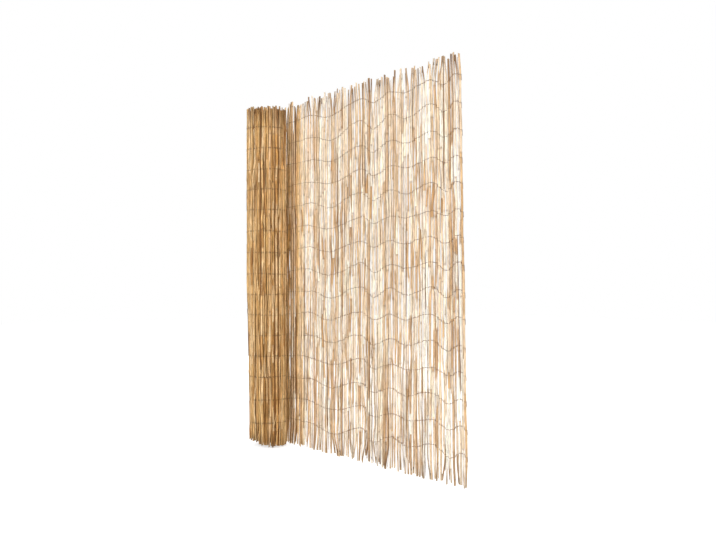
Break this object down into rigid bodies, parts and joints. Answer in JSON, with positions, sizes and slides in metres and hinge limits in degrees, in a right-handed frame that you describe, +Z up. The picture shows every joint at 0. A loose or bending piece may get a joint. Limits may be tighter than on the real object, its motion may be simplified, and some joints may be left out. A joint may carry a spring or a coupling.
{
  "type": "reed screening mat",
  "caption": "Reed screening mat standing partly unrolled: a tight roll of reeds whose outer turn runs out into a flat, see-through sheet bound by rows of thin wavy wire.",
  "frame": {"origin": "centre of the bounding box's base, on the ground the reed ends stand on", "axes": "+Z up along the reeds, +X along the sheet from the roll to its free edge, +Y out of the back of the sheet, with the roll on its front"},
  "size_m": [0.7954, 0.128, 1],
  "materials": {
    "reed": "dry, matt to satin straw",
    "wire": "dull weathered binding wire"
  },
  "bodies": {
    "root": {"reed_mat": "reed", "binding_wire_01": "wire", "binding_wire_02": "wire", "binding_wire_03": "wire", "binding_wire_04": "wire", "binding_wire_05": "wire", "binding_wire_06": "wire", "binding_wire_07": "wire", "binding_wire_08": "wire", "binding_wire_09": "wire", "binding_wire_10": "wire", "binding_wire_11": "wire", "binding_wire_12": "wire", "binding_wire_13": "wire", "binding_wire_14": "wire", "binding_wire_15": "wire"}
  },
  "joints": []
}
